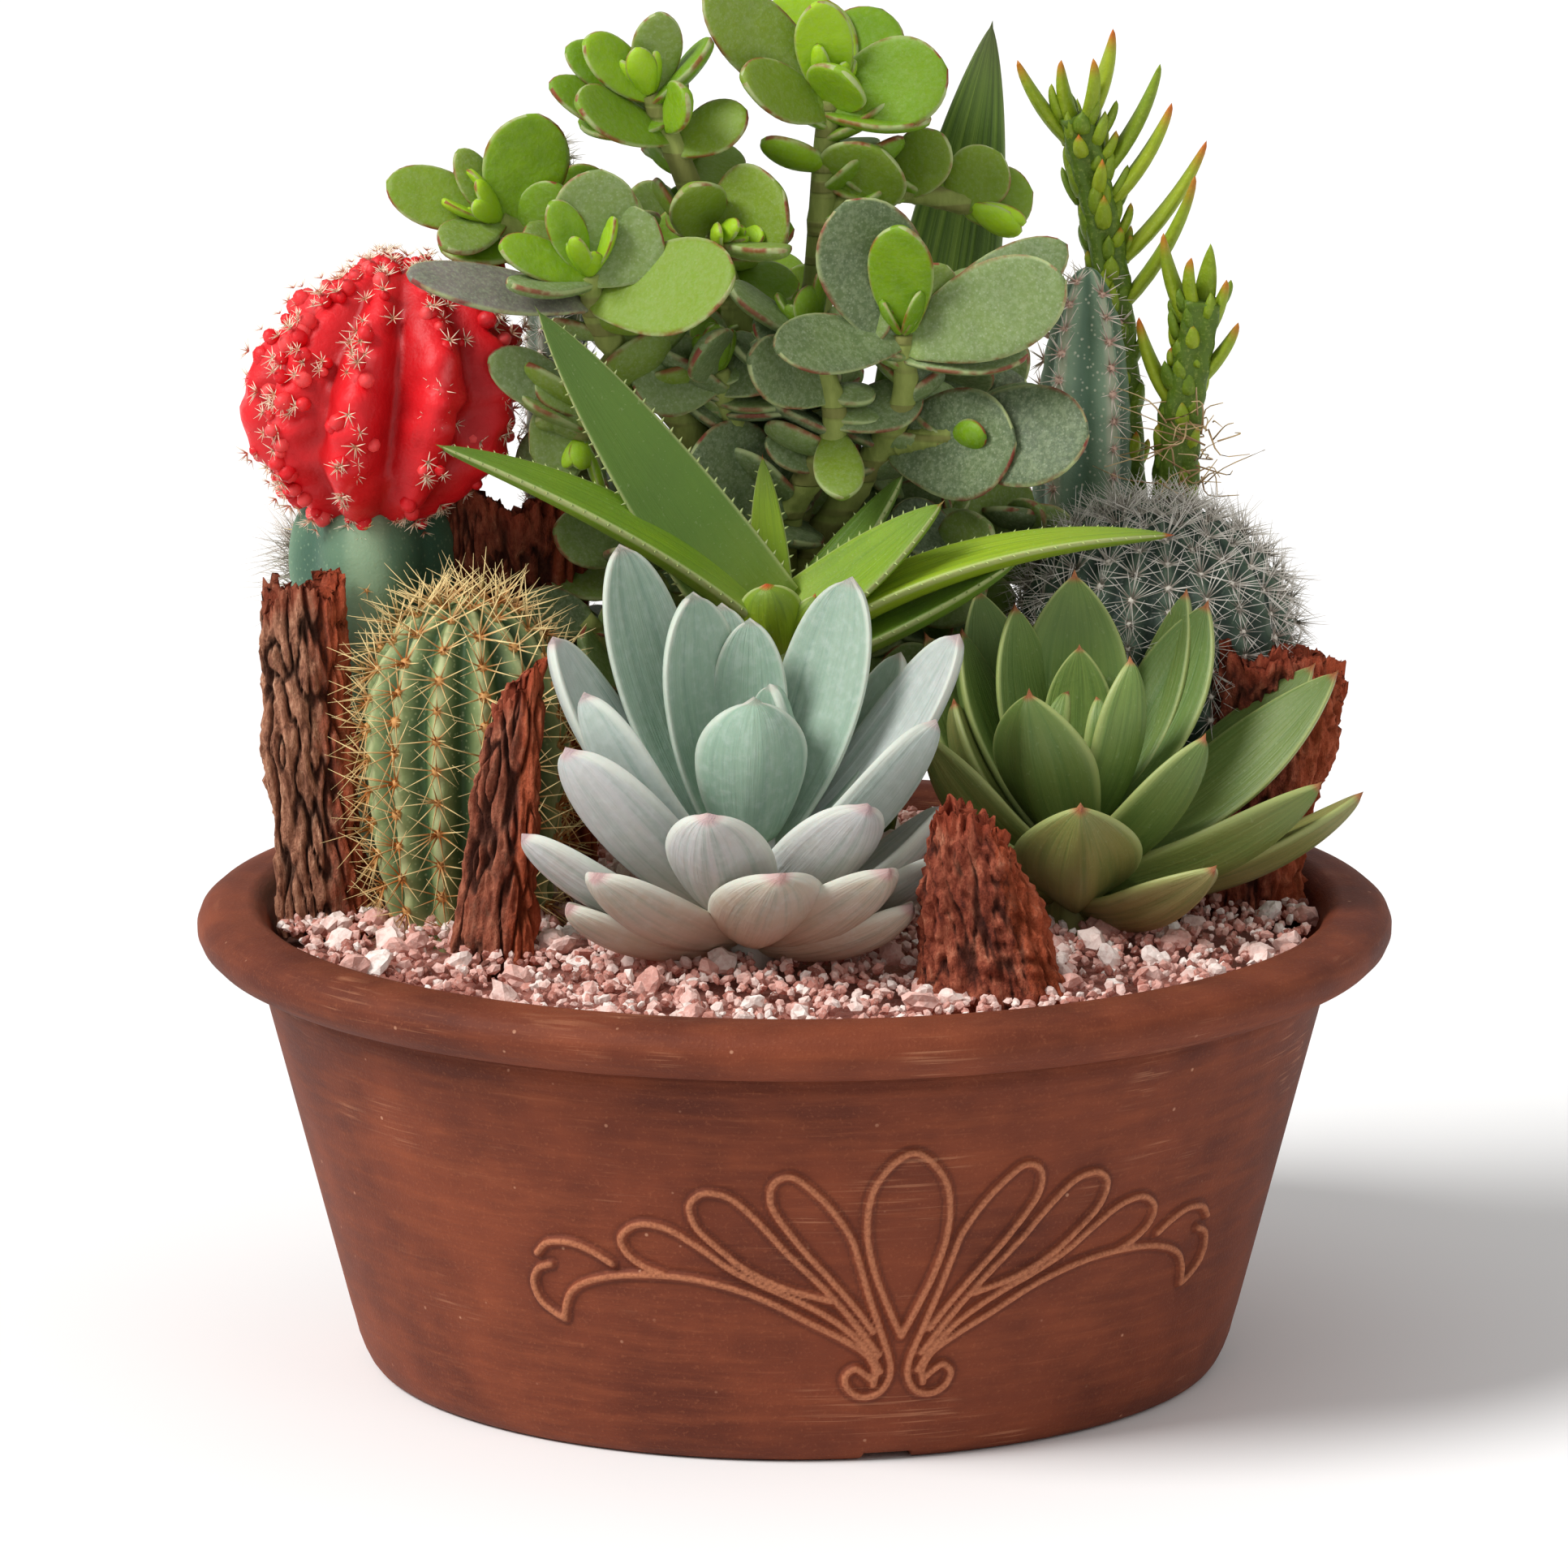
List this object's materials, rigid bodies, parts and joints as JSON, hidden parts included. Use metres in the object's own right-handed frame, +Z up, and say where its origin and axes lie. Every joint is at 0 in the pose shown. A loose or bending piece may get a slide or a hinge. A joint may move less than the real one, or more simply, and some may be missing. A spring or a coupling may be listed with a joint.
{
  "type": "potted succulent arrangement",
  "caption": "Round terracotta bowl on a foot ring, planted with cacti, leaf rosettes, an aloe, a jade plant and spurges among gravel and bark.",
  "frame": {"origin": "on the axis of the bowl, in the plane of the foot ring's underside", "axes": "+Z up along the bowl's axis, -Y towards the front of the planting, +X to the right seen from the front"},
  "size_m": [0.3, 0.3, 0.345],
  "materials": {
    "terracotta": "fired, unglazed, matte, with chalky scuffs",
    "potting_soil": "loose, damp, matte",
    "gravel": "crushed pink and white stone, matte",
    "bark": "rough, fibrous, dry",
    "barrel_skin": "waxy green skin with golden spines",
    "blue_skin": "waxy blue-green skin",
    "red_skin": "smooth, slightly glossy",
    "woolly_skin": "dark skin under dense white-grey spines",
    "pale_skin": "skin dotted with short white spines",
    "blue_leaf": "powdery bloom over blue-green, pink tips",
    "green_leaf": "satin green, brownish red tips",
    "aloe_skin": "satin, pale teeth along the margins",
    "sword_skin": "satin, dark grey-green",
    "spurge_skin": "satin, orange-red leaf tips",
    "jade_wood": "green-brown, matte, ringed",
    "jade_leaf": "waxy, thin red margins"
  },
  "bodies": {
    "root": {"terracotta_bowl": "terracotta", "potting_mix": "potting_soil", "gravel_topdressing": "gravel", "bark_slab_left": "bark", "bark_slab_front": "bark", "bark_block_front": "bark", "bark_chunk_right": "bark", "bark_slab_rear": "bark", "barrel_cactus": "barrel_skin", "moon_cactus_rootstock": "blue_skin", "blue_column_cactus": "blue_skin", "moon_cactus_head": "red_skin", "woolly_cactus": "woolly_skin", "white_column_cactus": "pale_skin", "white_haired_cactus": "pale_skin", "blue_rosette_heart": "blue_leaf", "blue_rosette_leaf_1": "blue_leaf", "blue_rosette_leaf_2": "blue_leaf", "blue_rosette_leaf_3": "blue_leaf", "blue_rosette_leaf_4": "blue_leaf", "blue_rosette_leaf_5": "blue_leaf", "blue_rosette_leaf_6": "blue_leaf", "blue_rosette_leaf_7": "blue_leaf", "blue_rosette_leaf_8": "blue_leaf", "blue_rosette_leaf_9": "blue_leaf", "blue_rosette_leaf_10": "blue_leaf", "blue_rosette_leaf_11": "blue_leaf", "blue_rosette_leaf_12": "blue_leaf", "blue_rosette_leaf_13": "blue_leaf", "blue_rosette_leaf_14": "blue_leaf", "blue_rosette_leaf_15": "blue_leaf", "green_rosette_heart": "green_leaf", "green_rosette_leaf_1": "green_leaf", "green_rosette_leaf_2": "green_leaf", "green_rosette_leaf_3": "green_leaf", "green_rosette_leaf_4": "green_leaf", "green_rosette_leaf_5": "green_leaf", "green_rosette_leaf_6": "green_leaf", "green_rosette_leaf_7": "green_leaf", "green_rosette_leaf_8": "green_leaf", "green_rosette_leaf_9": "green_leaf", "green_rosette_leaf_10": "green_leaf", "aloe_crown": "aloe_skin", "aloe_leaf_broad": "aloe_skin", "aloe_leaf_left": "aloe_skin", "aloe_leaf_spike": "aloe_skin", "aloe_leaf_blunt": "aloe_skin", "aloe_leaf_right": "aloe_skin", "aloe_leaf_rear": "aloe_skin", "aloe_leaf_low": "aloe_skin", "sword_leaf": "sword_skin", "spurge_tall": "spurge_skin", "spurge_short": "spurge_skin", "jade_trunk": "jade_wood", "jade_branch_top": "jade_leaf", "jade_branch_upper_left": "jade_leaf", "jade_branch_left": "jade_leaf", "jade_branch_front_left": "jade_leaf", "jade_branch_right": "jade_leaf", "jade_branch_low": "jade_leaf"}
  },
  "joints": []
}
